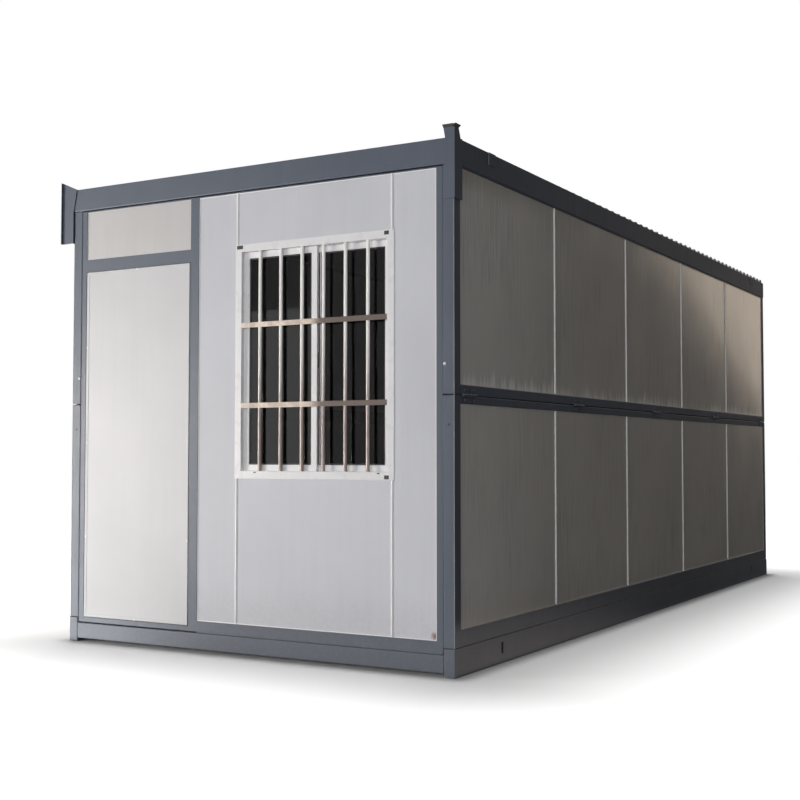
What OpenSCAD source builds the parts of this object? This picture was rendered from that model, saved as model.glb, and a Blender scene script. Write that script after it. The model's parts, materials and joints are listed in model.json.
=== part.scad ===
// Folding container house: a steel-framed room whose side walls fold at mid height
// Millimetres, +Z up, front (door and window) towards -Y, origin on the ground under the middle

/* [House] */
// Overall width over the base beams
house_w = 2420; // [2300:10:2600]
// Overall length over the base beams
house_l = 5850; // [5400:10:6400]

/* [Base] */
// Height of the side beams of the base
base_side_h = 134; // [125:1:160]
// Width of the side beams of the base
base_side_w = 60; // [50:1:60]
// Height of the front and rear beams of the base
base_end_h = 86; // [80:1:90]
// Depth of the front and rear beams of the base
base_end_d = 60; // [50:1:64]
// Ground gap under the front and rear beams
base_end_lift = 18; // [10:1:20]
// Width of one floor joist
joist_w = 50; // [40:1:80]
// Number of floor joists
joist_count = 9; // [5:2:13]
// Thickness of the floor deck
deck_t = 20; // [15:1:30]

/* [Side walls] */
// Depth of a side wall frame, outside to inside
wall_t = 60; // [55:1:70]
// Set-back of the side walls behind the base and roof beams
wall_recess = 3; // [1:0.5:5]
// Height of the lower half of a side wall
lower_h = 1178; // [1000:1:1300]
// Height of the upper half of a side wall
upper_h = 1086; // [1000:1:1300]
// Open seam between the two halves
fold_gap = 4; // [2:0.5:8]
// Width of the end posts of a side wall
post_w = 66; // [50:1:90]
// Bottom rail of the lower half
lower_sill_h = 82; // [50:1:100]
// Top rail of the lower half
lower_head_h = 40; // [30:1:60]
// Bottom rail of the upper half
upper_sill_h = 48; // [30:1:70]
// Top rail of the upper half
upper_head_h = 10; // [8:1:50]
// Number of panels along a side wall
side_bays = 5; // [3:1:7]
// Width of the strip between two panels
strip_w = 10; // [4:1:16]
// Thickness of the wall panels
panel_t = 46; // [40:1:48]
// Set-back of a panel behind the face of its frame
panel_recess = 5; // [2:0.5:6]

/* [Roof] */
// Height of the roof beams
roof_beam_h = 126; // [110:1:150]
// Width of the roof beams
roof_beam_w = 60; // [50:1:70]
// Number of roof joists
roof_joist_count = 8; // [4:1:12]
// Width of one roof joist
roof_joist_w = 40; // [30:1:60]
// Height of one roof joist
roof_joist_h = 88; // [70:1:95]
// Thickness of the ceiling panel
ceiling_t = 24; // [18:1:28]
// Thickness of the ribbed roof sheet
sheet_t = 2; // [1:0.5:4]
// Height of the ribs of the roof sheet
rib_h = 18; // [10:1:25]
// Number of ribs along the roof
rib_count = 55; // [30:1:70]
// Set-back of the roof sheet from the front and rear faces
sheet_setback = 45; // [20:1:50]
// Set-back of the roof sheet from the side faces
sheet_side_in = 18; // [8:1:40]

/* [Lifting points] */
// Distance from a lifting lug to the end of the roof
lug_from_end = 365; // [250:5:600]
// Length of a lifting lug
lug_l = 76; // [50:1:120]
// Height of a lifting lug
lug_h = 62; // [40:1:90]
// Thickness of a lifting lug
lug_t = 6; // [4:0.5:10]
// Distance from a lashing slot to the end of the base
slot_from_end = 502; // [300:5:800]
// Length of a lashing slot
slot_l = 22; // [12:1:40]
// Height of a lashing slot
slot_h = 54; // [30:1:70]
// Height of the foot of a lashing slot above the ground
slot_z = 50; // [30:1:60]

/* [End walls] */
// Depth of an end wall frame
end_wall_t = 60; // [56:1:62]
// Set-back of the end walls behind the front and rear faces
end_recess = 5; // [3:0.5:8]
// Clear room all round an end wall that swings up
swing_gap = 6; // [5:0.5:8]
// Side stiles of an end wall
end_stile_w = 30; // [24:1:60]
// Plate along the top of an end wall
end_head_h = 5; // [4:1:40]
// Bottom rail of an end wall
end_sill_h = 55; // [40:1:80]
// Height of the hinge flange inside the top rail
end_flange_h = 60; // [50:1:90]
// Number of panels in the rear wall
rear_bays = 3; // [2:1:4]

/* [Door] */
// Width of the door leaf
door_w = 731; // [650:1:800]
// Height of the door leaf
door_h = 1911; // [1800:1:1950]
// Thickness of the door leaf
door_t = 40; // [35:1:42]
// Open joint round the door leaf
door_gap = 6.5; // [6:0.5:8]
// Stile that carries the door's pivots
door_stile_w = 28; // [18:1:40]
// Stile between the door and the window bay
mid_stile_w = 55; // [45:1:80]
// Threshold under the door
threshold_h = 23; // [18:1:30]
// Rail over the door
door_head_h = 65; // [40:1:80]
// Radius of the door's pivot pins
pivot_r = 4; // [3:0.5:5]

/* [Window] */
// Width of the window bay
window_w = 918; // [800:1:960]
// Height of the window frame
window_h = 1176; // [1000:1:1300]
// Height of the foot of the window frame above the ground
window_z = 927; // [850:1:1000]
// Face width of the window frame
window_bar = 23; // [18:1:40]
// Overlap of the window trim on the panels
trim_lap = 17; // [8:1:20]
// Thickness of the window trim
trim_t = 4; // [2:0.5:6]
// Face width of the upright bars of a sash
sash_bar = 34; // [28:1:45]
// Face height of the top and bottom bars of a sash
sash_rail = 32; // [26:1:60]
// Thickness of a sash
sash_t = 17; // [14:1:17]
// Thickness of a pane of glass
glass_t = 5; // [4:0.5:8]

/* [Window guard] */
// Number of upright tubes
guard_tubes = 6; // [3:1:8]
// Radius of an upright tube
guard_r = 9.5; // [6:0.5:9.5]
// Spacing of the upright tubes
guard_pitch = 129.5; // [100:0.5:135]
// Face height of a cross tube
guard_rail = 26; // [24:1:32]
// Depth of a cross tube
guard_rail_d = 20; // [19:0.5:21]
// Height of the lower cross tube above the foot of the window
guard_low = 358; // [250:1:450]
// Height of the upper cross tube above the foot of the window
guard_high = 772; // [650:1:900]

/* [Corner guides] */
// Height of a corner guide
guide_h = 350; // [250:1:450]
// Height of the right guide above the roof beams
guide_right_up = 58; // [30:1:80]
// Height of the left guide above the roof beams
guide_left_up = 46; // [30:1:80]
// Plate thickness of a guide
guide_t = 5; // [4:0.5:8]
// Front leg of the right guide
guide_right_leg = 47; // [35:1:60]
// Front leg of the left guide, outside the corner
guide_left_leg = 84; // [60:1:100]
// Leg of a guide along the side of the house
guide_side_leg = 75; // [50:1:100]
// Length of the slope at the top of the right guide's side leg
guide_slope_l = 50; // [30:1:70]
// Reach of the left guide's top over the face of the front beam
guide_left_lap = 25; // [10:1:40]
// Lip of a guide that is bent outwards
guide_lip = 12; // [6:1:20]
// Widening of the right guide above the roof beam
guide_flare = 8; // [4:1:15]

/* [Hinges] */
// Number of fold hinges on a side wall
fold_hinges = 5; // [3:1:7]
// Distance from the first and last fold hinge to the end of the house
fold_hinge_from_end = 150; // [120:1:300]
// Length of a fold hinge
fold_hinge_l = 140; // [80:1:200]
// Radius of a fold hinge's barrel
fold_barrel_r = 6; // [5:0.5:9]
// Height of one leaf of a fold hinge
fold_leaf_h = 34; // [20:1:36]
// Number of knuckles of a fold hinge
fold_knuckles = 3; // [3:2:5]
// Number of hinges along the top of an end wall
end_hinges = 3; // [2:1:5]
// Length of one knuckle of an end wall hinge
knuckle_l = 40; // [30:1:60]
// Radius of a knuckle of an end wall hinge
knuckle_r = 8; // [7:0.5:8]
// Radius of the pin of an end wall hinge
hinge_pin_r = 4; // [3:0.5:4.5]

/* [Hidden] */
$fn = 48;
// Overrun of every cut
cut = 5;
// Running clearance of a pin in its bore
pin_clear = 0.3;

// Heights of the main levels
base_end_top = base_end_lift + base_end_h;
floor_z = base_end_top;
joist_h = floor_z - deck_t;
fold_z = base_side_h + lower_h;
upper_z = fold_z + fold_gap;
roof_z = upper_z + upper_h;
roof_top = roof_z + roof_beam_h;

// Half sizes and inner faces
half_w = house_w / 2;
half_l = house_l / 2;
side_face = half_w - wall_recess;
side_inner = side_face - wall_t;

// End walls, as distances behind the front or rear face and heights
end_half_w = side_inner - swing_gap;
end_bottom = base_end_top + swing_gap;
end_top = roof_z - swing_gap;
end_y0 = -half_l + end_recess;
end_y1 = end_y0 + end_wall_t;
end_panel_y0 = end_y0 + panel_recess;
end_panel_y1 = end_panel_y0 + panel_t;
hinge_out = knuckle_r + swing_gap;
hinge_y = end_y1 + hinge_out;
hinge_drop = 20;
hinge_z = end_top - hinge_drop;
hinge_lug_lap = 32;
hinge_lug_h = roof_z - hinge_z + hinge_lug_lap;
knuckle_gap = 1;
end_hinge_reach_share = 0.8;

// Door bay, from the left stile to the mid stile
door_x0 = -end_half_w + door_stile_w + door_gap;
door_x1 = door_x0 + door_w;
door_bay_x1 = door_x1 + door_gap;
door_z0 = end_bottom + threshold_h + door_gap;
door_z1 = door_z0 + door_h;
door_head_z = door_z1 + door_gap;
transom_z = door_head_z + door_head_h;
pivot_in = 6;
pivot_edge = 14;
pivot_x = door_x0 + pivot_edge;
pivot_y = end_y0 + pivot_in;
pivot_sink = 30;
stop_t = 10;
stop_lap = 12;

// Window bay, from the mid stile to the right stile
bay_x0 = door_bay_x1 + mid_stile_w;
bay_x1 = end_half_w - end_stile_w;
bay_z0 = end_bottom + end_sill_h;
bay_z1 = end_top - end_head_h;
window_side_share = 0.511;
window_spare = bay_x1 - bay_x0 - window_w - 2 * strip_w;
window_x0 = bay_x0 + window_spare * window_side_share + strip_w;
window_x1 = window_x0 + window_w;
window_z1 = window_z + window_h;
sash_mid = (window_x0 + window_x1) / 2;
sash_lap = sash_bar / 2;
window_face = end_panel_y0 - trim_t;
sash_gap = 1;
sash_y1 = end_y1 - sash_gap - sash_t;
sash_y0 = sash_y1 - sash_gap - sash_t;

// Knuckles of a fold hinge
fold_knuckle_gap = 2;
fold_knuckle_l = (fold_hinge_l + fold_knuckle_gap) / fold_knuckles - fold_knuckle_gap;
fold_pin_r = fold_barrel_r / 2;

// Ribbed sheet
sheet_l = house_l - 2 * sheet_setback;
rib_pitch = sheet_l / rib_count;
rib_foot_share = 0.35;
rib_slope_share = 0.15;

// Paint colours
steel = [0.36, 0.38, 0.41];
white = [0.90, 0.90, 0.91];
grey_panel = [0.55, 0.54, 0.52];

// Box between two corners
module block(low, high) {
    translate(low) cube(high - low);
}

// Right-hand piece, or its mirror image on the left
module on_side(left) {
    if (left) mirror([1, 0, 0]) children();
    else children();
}

// Front piece, or its mirror image at the rear
module on_end(rear) {
    if (rear) mirror([0, 1, 0]) children();
    else children();
}

// Beam across the end of the base
module base_end_beam() {
    reach = half_w - base_side_w;
    block([-reach, -half_l, base_end_lift], [reach, base_end_d - half_l, base_end_top]);
}

// Beam along the side of the base, with a lashing slot near each end
module base_side_beam() {
    difference() {
        block([half_w - base_side_w, -half_l, 0], [half_w, half_l, base_side_h]);
        for (rear = [false, true])
            on_end(rear)
                block([half_w - base_side_w - cut, slot_from_end - half_l, slot_z],
                    [half_w + cut, slot_from_end + slot_l - half_l, slot_z + slot_h]);
    }
}

// Joists across the base, one under the middle of the floor
module base_joists() {
    reach = half_w - base_side_w;
    pitch = (house_l - 2 * base_end_d - joist_w) / (joist_count + 1);
    for (i = [1 : joist_count])
        translate([0, pitch * (i - (joist_count + 1) / 2), 0])
            block([-reach, -joist_w / 2, 0], [reach, joist_w / 2, joist_h]);
}

// Welded frame of one half of a side wall
module wall_frame(z, h, sill, head) {
    difference() {
        block([side_inner, wall_recess - half_l, z], [side_face, half_l - wall_recess, z + h]);
        block([side_inner - cut, wall_recess + post_w - half_l, z + sill],
            [side_face + cut, half_l - wall_recess - post_w, z + h - head]);
    }
}

// Pitch of the panels of a side wall
side_run = house_l - 2 * wall_recess - 2 * post_w;
side_pitch = (side_run + strip_w) / side_bays;

// Panels of one half of a side wall
module wall_panels(z, h, sill, head) {
    outer = side_face - panel_recess;
    for (i = [0 : side_bays - 1])
        translate([0, side_pitch * i - side_run / 2, 0])
            block([outer - panel_t, 0, z + sill], [outer, side_pitch - strip_w, z + h - head]);
}

// Strips between the panels of one half of a side wall
module wall_strips(z, h, sill, head) {
    outer = side_face - panel_recess / 2;
    for (i = [1 : side_bays - 1])
        translate([0, side_pitch * i - strip_w - side_run / 2, 0])
            block([outer - panel_t, 0, z + sill], [outer, strip_w, z + h - head]);
}

// One knuckle of a fold hinge with its share of a leaf, up or down from the seam
module fold_knuckle(y, up) {
    translate([fold_barrel_r, y + fold_knuckle_l, 0])
        rotate([90, 0, 0]) cylinder(r = fold_barrel_r, h = fold_knuckle_l);
    mirror([0, 0, up ? 0 : 1])
        block([0, y, fold_gap / 2], [wall_recess, y + fold_knuckle_l, fold_leaf_h]);
}

// Hinges along the fold of a side wall: a pin, knuckles and a leaf on each half
module wall_fold_hinges() {
    pitch = (house_l - 2 * fold_hinge_from_end) / (fold_hinges - 1);
    for (i = [0 : fold_hinges - 1])
        translate([side_face, fold_hinge_from_end - half_l + pitch * i, fold_z + fold_gap / 2]) {
            translate([fold_barrel_r, fold_hinge_l / 2, 0])
                rotate([90, 0, 0]) cylinder(r = fold_pin_r, h = fold_hinge_l);
            for (k = [0 : fold_knuckles - 1])
                fold_knuckle((fold_knuckle_l + fold_knuckle_gap) * k - fold_hinge_l / 2, k % 2 == 0);
        }
}

// Beam across the end of the roof
module roof_end_beam() {
    block([-half_w, -half_l, roof_z], [half_w, roof_beam_w - half_l, roof_top]);
}

// Beam along the side of the roof, with a lifting lug welded on near each end
module roof_side_beam() {
    block([half_w - roof_beam_w, roof_beam_w - half_l, roof_z],
        [half_w, half_l - roof_beam_w, roof_top]);
    for (rear = [false, true])
        on_end(rear)
            block([half_w - lug_t, lug_from_end - half_l, roof_top - lug_h],
                [half_w + lug_t, lug_from_end + lug_l - half_l, roof_top]);
}

// Lugs and pins that carry an end wall under the roof beam
module end_hinge_lugs() {
    reach = end_half_w * end_hinge_reach_share;
    for (i = [0 : end_hinges - 1])
        translate([reach * (2 * i / (end_hinges - 1) - 1), hinge_y, hinge_z]) {
            for (side = [-1, 1])
                translate([side * (knuckle_l + knuckle_gap) - knuckle_l / 2, 0, 0]) {
                    rotate([0, 90, 0]) cylinder(r = knuckle_r, h = knuckle_l);
                    block([0, -knuckle_r, 0], [knuckle_l, knuckle_r, hinge_lug_h]);
                    block([0, roof_beam_w - half_l - hinge_y, roof_z - hinge_z],
                        [knuckle_l, knuckle_r, hinge_lug_h]);
                }
            translate([-knuckle_l, 0, 0]) rotate([0, 90, 0]) cylinder(r = hinge_pin_r, h = 2 * knuckle_l);
        }
}

// Ears of an end wall that turn on the pins
module end_hinge_ears() {
    reach = end_half_w * end_hinge_reach_share;
    for (i = [0 : end_hinges - 1])
        translate([reach * (2 * i / (end_hinges - 1) - 1) - knuckle_l / 2, hinge_y, hinge_z])
            difference() {
                union() {
                    rotate([0, 90, 0]) cylinder(r = knuckle_r, h = knuckle_l);
                    block([0, -hinge_out, -knuckle_r], [knuckle_l, 0, knuckle_r]);
                }
                translate([-cut, 0, 0]) rotate([0, 90, 0])
                    cylinder(r = hinge_pin_r + pin_clear, h = knuckle_l + 2 * cut);
            }
}

// Outer rails and stiles of an end wall, with the flange that carries its hinges
module end_wall_ring(left_stile, right_stile) {
    difference() {
        block([-end_half_w, end_y0, end_bottom], [end_half_w, end_y1, end_top]);
        block([left_stile - end_half_w, end_y0 - cut, bay_z0],
            [end_half_w - right_stile, end_y1 + cut, bay_z1]);
    }
    block([-end_half_w, end_panel_y1, end_top - end_flange_h], [end_half_w, end_y1, end_top]);
    end_hinge_ears();
}

module base_front_beam() { color(steel) base_end_beam(); }
module base_rear_beam() { color(steel) on_end(true) base_end_beam(); }
module base_left_beam() { color(steel) on_side(true) base_side_beam(); }
module base_right_beam() { color(steel) base_side_beam(); }
module floor_joists() { color(steel) base_joists(); }

module floor_deck() {
    reach = half_w - base_side_w;
    color("tan")
        block([-reach, base_end_d - half_l, joist_h], [reach, half_l - base_end_d, floor_z]);
}

module lower_frame(left) {
    color(steel) on_side(left) wall_frame(base_side_h, lower_h, lower_sill_h, lower_head_h);
}

module upper_frame(left) {
    color(steel) on_side(left) wall_frame(upper_z, upper_h, upper_sill_h, upper_head_h);
}

module lower_panels(left) {
    color(grey_panel) on_side(left) wall_panels(base_side_h, lower_h, lower_sill_h, lower_head_h);
}

module upper_panels(left) {
    color(grey_panel) on_side(left) wall_panels(upper_z, upper_h, upper_sill_h, upper_head_h);
}

module joint_strips(left) {
    color(white) on_side(left) {
        wall_strips(base_side_h, lower_h, lower_sill_h, lower_head_h);
        wall_strips(upper_z, upper_h, upper_sill_h, upper_head_h);
    }
}

module left_lower_frame() { lower_frame(true); }
module left_upper_frame() { upper_frame(true); }
module right_lower_frame() { lower_frame(false); }
module right_upper_frame() { upper_frame(false); }
module left_lower_panels() { lower_panels(true); }
module left_upper_panels() { upper_panels(true); }
module right_lower_panels() { lower_panels(false); }
module right_upper_panels() { upper_panels(false); }
module left_joint_strips() { joint_strips(true); }
module right_joint_strips() { joint_strips(false); }
module left_fold_hinges() { color(steel) on_side(true) wall_fold_hinges(); }
module right_fold_hinges() { color(steel) wall_fold_hinges(); }

module roof_front_beam() { color(steel) roof_end_beam(); }
module roof_rear_beam() { color(steel) on_end(true) roof_end_beam(); }
module roof_left_beam() { color(steel) on_side(true) roof_side_beam(); }
module roof_right_beam() { color(steel) roof_side_beam(); }

module roof_joists() {
    reach = half_w - roof_beam_w;
    pitch = (house_l - 2 * roof_beam_w) / (roof_joist_count + 1);
    color(steel)
        for (i = [1 : roof_joist_count])
            translate([0, pitch * (i - (roof_joist_count + 1) / 2), 0])
                block([-reach, -roof_joist_w / 2, roof_top - roof_joist_h],
                    [reach, roof_joist_w / 2, roof_top]);
}

module ceiling_panel() {
    reach = half_w - roof_beam_w;
    top = roof_top - roof_joist_h;
    end = half_l - roof_beam_w - 2 * hinge_out;
    color(white) block([-reach, -end, top - ceiling_t], [reach, end, top]);
}

// Upper line of the ribbed sheet, seen along the ribs, as places along Y and heights
function rib_line(i) = let(y = rib_pitch * i) [
    [y + rib_pitch * rib_foot_share, 0],
    [y + rib_pitch * (rib_foot_share + rib_slope_share), rib_h],
    [y + rib_pitch * (1 - rib_slope_share), rib_h],
    [y + rib_pitch, 0]];
sheet_line = concat([[0, 0]], [for (i = [0 : rib_count - 1]) each rib_line(i)]);

module roof_sheet() {
    over = [for (i = [len(sheet_line) - 1 : -1 : 0]) sheet_line[i] + [0, sheet_t]];
    color([0.62, 0.64, 0.66])
        translate([sheet_side_in - half_w, -sheet_l / 2, roof_top])
            rotate([90, 0, 90]) linear_extrude(house_w - 2 * sheet_side_in)
                polygon(concat(sheet_line, over));
}

// Angle that wraps the right corner and widens above the roof, its top bent outwards in a lip
module front_right_guide() {
    roof_at = guide_h - guide_right_up;
    lip_at = guide_h - guide_lip;
    color(steel) translate([half_w, -half_l, roof_top - roof_at]) {
        rotate([90, 0, 0]) linear_extrude(guide_t)
            polygon([[-guide_right_leg, 0], [guide_t, 0], [guide_t, lip_at],
                [-guide_right_leg - guide_flare, lip_at], [-guide_right_leg, roof_at]]);
        rotate([90, 0, 90]) linear_extrude(guide_t)
            polygon([[-guide_t, 0], [guide_side_leg, 0], [guide_side_leg, roof_at],
                [guide_slope_l, roof_at], [0, lip_at], [-guide_t, lip_at]]);
        translate([-guide_right_leg - guide_flare, 0, lip_at])
            rotate([90, 0, 90]) linear_extrude(guide_right_leg + guide_flare + guide_t)
                polygon([[-guide_t, 0], [0, 0], [-guide_lip, guide_lip], [-guide_t - guide_lip, guide_lip]]);
    }
}

// Front leg of the left guide, out of the corner, its top sloping inwards over the beam
module left_guide_plate(depth) {
    roof_at = guide_h - guide_left_up;
    rotate([90, 0, 0]) linear_extrude(depth)
        polygon([[-guide_left_leg, 0], [0, 0], [0, roof_at - roof_beam_h], [guide_left_lap, roof_at],
            [-guide_left_leg, guide_h]]);
}

// Angle on the left side, with a lip bent outwards along the outer edge of its front leg
module front_left_guide() {
    roof_at = guide_h - guide_left_up;
    color(steel) translate([-half_w, -half_l, roof_top - roof_at]) {
        block([-guide_t, 0, 0], [0, guide_side_leg, roof_at]);
        left_guide_plate(guide_t);
        intersection() {
            left_guide_plate(guide_t + guide_lip);
            block([-guide_left_leg, -guide_t - guide_lip, 0], [guide_t - guide_left_leg, 0, guide_h]);
        }
    }
}

module front_wall_hinges() { color(steel) end_hinge_lugs(); }
module rear_wall_hinges() { color(steel) on_end(true) end_hinge_lugs(); }

// Front wall frame with the door's stiles, head, threshold and stops
module front_wall_frame() {
    color(steel) {
        difference() {
            end_wall_ring(door_stile_w, end_stile_w);
            block([door_x0 - door_gap, end_y0 - cut, end_bottom + threshold_h],
                [door_bay_x1, end_y1 + cut, door_head_z]);
            pivot_bores();
        }
        difference() {
            union() {
                block([door_bay_x1, end_y0, end_bottom], [bay_x0, end_y1, end_top]);
                block([-end_half_w, end_y0, door_head_z], [bay_x0, end_y1, transom_z]);
            }
            pivot_bores();
        }
        difference() {
            block([-end_half_w, end_y1 - stop_t, end_bottom], [bay_x0, end_y1, transom_z]);
            block([door_x0 + stop_lap, end_y1 - stop_t - cut, door_z0 + stop_lap],
                [door_x1 - stop_lap, end_y1 + cut, door_z1 - stop_lap]);
        }
    }
}

// Seats of the door's pivot pins in the threshold and the head
module pivot_bores() {
    translate([pivot_x, pivot_y, end_bottom - cut]) cylinder(r = pivot_r, h = threshold_h + cut);
    translate([pivot_x, pivot_y, door_head_z]) cylinder(r = pivot_r, h = pivot_sink);
}

module door_pivots() {
    color("silver") {
        translate([pivot_x, pivot_y, end_bottom])
            cylinder(r = pivot_r, h = threshold_h + door_gap + pivot_sink);
        translate([pivot_x, pivot_y, door_z1 - pivot_sink])
            cylinder(r = pivot_r, h = 2 * pivot_sink + door_gap);
    }
}

module door_leaf() {
    bore = pivot_sink + pin_clear;
    color(white) difference() {
        block([door_x0, end_y0, door_z0], [door_x1, end_y0 + door_t, door_z1]);
        translate([pivot_x, pivot_y, door_z0 - cut]) cylinder(r = pivot_r + pin_clear, h = bore + cut);
        translate([pivot_x, pivot_y, door_z1 - bore]) cylinder(r = pivot_r + pin_clear, h = bore + cut);
    }
}

// Panels beside, under and over the window
module front_wall_panels() {
    color(white) {
        block([bay_x0, end_panel_y0, bay_z0], [window_x0 - strip_w, end_panel_y1, bay_z1]);
        block([window_x1 + strip_w, end_panel_y0, bay_z0], [bay_x1, end_panel_y1, bay_z1]);
        block([window_x0, end_panel_y0, bay_z0], [window_x1, end_panel_y1, window_z]);
        block([window_x0, end_panel_y0, window_z1], [window_x1, end_panel_y1, bay_z1]);
    }
}

module transom_panel() {
    color(white)
        block([door_stile_w - end_half_w, end_panel_y0, transom_z], [door_bay_x1, end_panel_y1, bay_z1]);
}

module front_joint_strips() {
    color(white)
        for (x = [window_x0 - strip_w, window_x1])
            block([x, end_panel_y0, bay_z0], [x + strip_w, end_panel_y1, bay_z1]);
}

// Window frame: a ring in the wall with a trim that laps over the panels outside
module window_frame() {
    color(white) difference() {
        union() {
            block([window_x0, end_panel_y0, window_z], [window_x1, end_y1, window_z1]);
            block([window_x0 - trim_lap, window_face, window_z - trim_lap],
                [window_x1 + trim_lap, end_panel_y0, window_z1 + trim_lap]);
        }
        block([window_x0 + window_bar, window_face - cut, window_z + window_bar],
            [window_x1 - window_bar, end_y1 + cut, window_z1 - window_bar]);
    }
}

// One sliding sash, as a ring between two places along X
module sash(x0, x1, y) {
    z0 = window_z + window_bar;
    z1 = window_z1 - window_bar;
    difference() {
        block([x0, y, z0], [x1, y + sash_t, z1]);
        block([x0 + sash_bar, y - cut, z0 + sash_rail], [x1 - sash_bar, y + sash_t + cut, z1 - sash_rail]);
    }
}

module window_sashes() {
    color(white) {
        sash(window_x0 + window_bar, sash_mid + sash_lap, sash_y0);
        sash(sash_mid - sash_lap, window_x1 - window_bar, sash_y1);
    }
}

// One pane inside a sash
module pane(x0, x1, y) {
    z0 = window_z + window_bar + sash_rail;
    z1 = window_z1 - window_bar - sash_rail;
    middle = y + sash_t / 2;
    block([x0 + sash_bar, middle - glass_t / 2, z0], [x1 - sash_bar, middle + glass_t / 2, z1]);
}

module window_glass() {
    color([0.2, 0.22, 0.24, 0.5]) {
        pane(window_x0 + window_bar, sash_mid + sash_lap, sash_y0);
        pane(sash_mid - sash_lap, window_x1 - window_bar, sash_y1);
    }
}

// Upright tubes that pass through two cross tubes, between the bars of the window frame
module window_guard() {
    middle = window_face + guard_rail_d / 2;
    reach = window_w / 2 - window_bar;
    color("silver") {
        for (i = [0 : guard_tubes - 1])
            translate([sash_mid + guard_pitch * (i - (guard_tubes - 1) / 2), middle, window_z + window_bar])
                cylinder(r = guard_r, h = window_h - 2 * window_bar);
        for (z = [guard_low, guard_high])
            translate([sash_mid, middle, window_z + z])
                block([-reach, -guard_rail_d / 2, -guard_rail / 2],
                    [reach, guard_rail_d / 2, guard_rail / 2]);
    }
}

module rear_wall_frame() { color(steel) on_end(true) end_wall_ring(end_stile_w, end_stile_w); }

// Pitch of the panels of the rear wall
rear_run = 2 * (end_half_w - end_stile_w);
rear_pitch = (rear_run + strip_w) / rear_bays;

module rear_wall_panels() {
    color(white) on_end(true)
        for (i = [0 : rear_bays - 1])
            translate([rear_pitch * i - rear_run / 2, 0, 0])
                block([0, end_panel_y0, bay_z0], [rear_pitch - strip_w, end_panel_y1, bay_z1]);
}

module rear_joint_strips() {
    color(white) on_end(true)
        for (i = [1 : rear_bays - 1])
            translate([rear_pitch * i - strip_w - rear_run / 2, 0, 0])
                block([0, end_panel_y0, bay_z0], [strip_w, end_panel_y1, bay_z1]);
}

base_front_beam();
base_rear_beam();
base_left_beam();
base_right_beam();
floor_joists();
floor_deck();
left_lower_frame();
left_upper_frame();
right_lower_frame();
right_upper_frame();
left_lower_panels();
left_upper_panels();
right_lower_panels();
right_upper_panels();
left_joint_strips();
right_joint_strips();
left_fold_hinges();
right_fold_hinges();
roof_front_beam();
roof_rear_beam();
roof_left_beam();
roof_right_beam();
roof_joists();
ceiling_panel();
roof_sheet();
front_left_guide();
front_right_guide();
front_wall_hinges();
rear_wall_hinges();
front_wall_frame();
front_wall_panels();
transom_panel();
front_joint_strips();
window_frame();
window_sashes();
window_glass();
window_guard();
door_pivots();
door_leaf();
rear_wall_frame();
rear_wall_panels();
rear_joint_strips();
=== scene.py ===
"""Looks of the folding container house: finishes, seals, fittings and a plain stage."""
import json
import math

import bpy
from bpy.props import FloatProperty, FloatVectorProperty, IntProperty, PointerProperty
from mathutils import Matrix, Vector


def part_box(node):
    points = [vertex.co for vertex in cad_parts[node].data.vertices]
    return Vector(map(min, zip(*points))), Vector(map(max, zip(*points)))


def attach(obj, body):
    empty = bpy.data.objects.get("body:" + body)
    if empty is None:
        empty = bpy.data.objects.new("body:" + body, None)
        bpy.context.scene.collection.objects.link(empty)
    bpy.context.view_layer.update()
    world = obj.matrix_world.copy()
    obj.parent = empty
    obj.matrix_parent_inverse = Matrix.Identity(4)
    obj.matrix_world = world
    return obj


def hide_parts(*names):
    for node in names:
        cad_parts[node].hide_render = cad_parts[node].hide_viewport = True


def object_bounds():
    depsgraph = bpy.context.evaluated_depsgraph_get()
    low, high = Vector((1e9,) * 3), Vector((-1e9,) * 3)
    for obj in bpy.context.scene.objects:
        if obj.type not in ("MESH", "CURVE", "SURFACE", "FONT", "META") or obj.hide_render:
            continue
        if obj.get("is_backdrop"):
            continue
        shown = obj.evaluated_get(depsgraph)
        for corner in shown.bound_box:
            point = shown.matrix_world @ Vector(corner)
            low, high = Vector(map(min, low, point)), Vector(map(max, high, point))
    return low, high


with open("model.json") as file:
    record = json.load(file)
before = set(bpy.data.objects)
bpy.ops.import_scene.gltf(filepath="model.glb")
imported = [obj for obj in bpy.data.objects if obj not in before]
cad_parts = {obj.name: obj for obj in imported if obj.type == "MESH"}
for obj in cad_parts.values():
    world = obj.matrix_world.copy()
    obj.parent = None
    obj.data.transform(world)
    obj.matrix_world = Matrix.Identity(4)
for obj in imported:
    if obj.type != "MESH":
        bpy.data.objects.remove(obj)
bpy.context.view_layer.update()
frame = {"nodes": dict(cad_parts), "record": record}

bl_info = {
    "name": "Folding container house",
    "version": (1, 0, 0),
    "blender": (4, 5, 0),
    "location": "View3D > Sidebar > House",
    "description": "Finishes and fittings of a folding container house around its packed solids",
    "category": "Object",
}

MERGE = 1e-5
FLAT_ANGLE = math.radians(1)
SMOOTH_ANGLE = math.radians(40)
BODY_OF = {node: body for body, nodes in frame["record"]["behaviour"]["bodies"].items() for node in nodes}
SLOT_OF = {row["node"]: row["material_slot"] for row in frame["record"]["subparts"]}
SIDES = ("left", "right")
HALVES = ("lower", "upper")
OUT = {"left": Vector((-1, 0, 0)), "right": Vector((1, 0, 0)),
       "front": Vector((0, -1, 0)), "rear": Vector((0, 1, 0))}
UP = Vector((0, 0, 1))
# Heights of the guard's cross rails, half their width with its soft edge, and where they turn darker on the
# right: partly their own tone, partly a painted reflection
GUARD_RAILS = (1.285, 1.699)
RAIL_EDGE = (0.0130, 0.0142)
RAIL_SHADE = (0.01, 0.06)
# Heights between which the guard's tubes turn from the darker foot to the pale top: partly their own tone,
# partly a painted reflection
TUBE_SHEEN = (1.15, 1.75)
# Heights of the clips on the door's edge
CLIP_LEVELS = (0.58, 1.10, 1.63)
# Middle of a roof rib's top within the pitch of the ribs
RIB_TOP = 0.675
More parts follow.
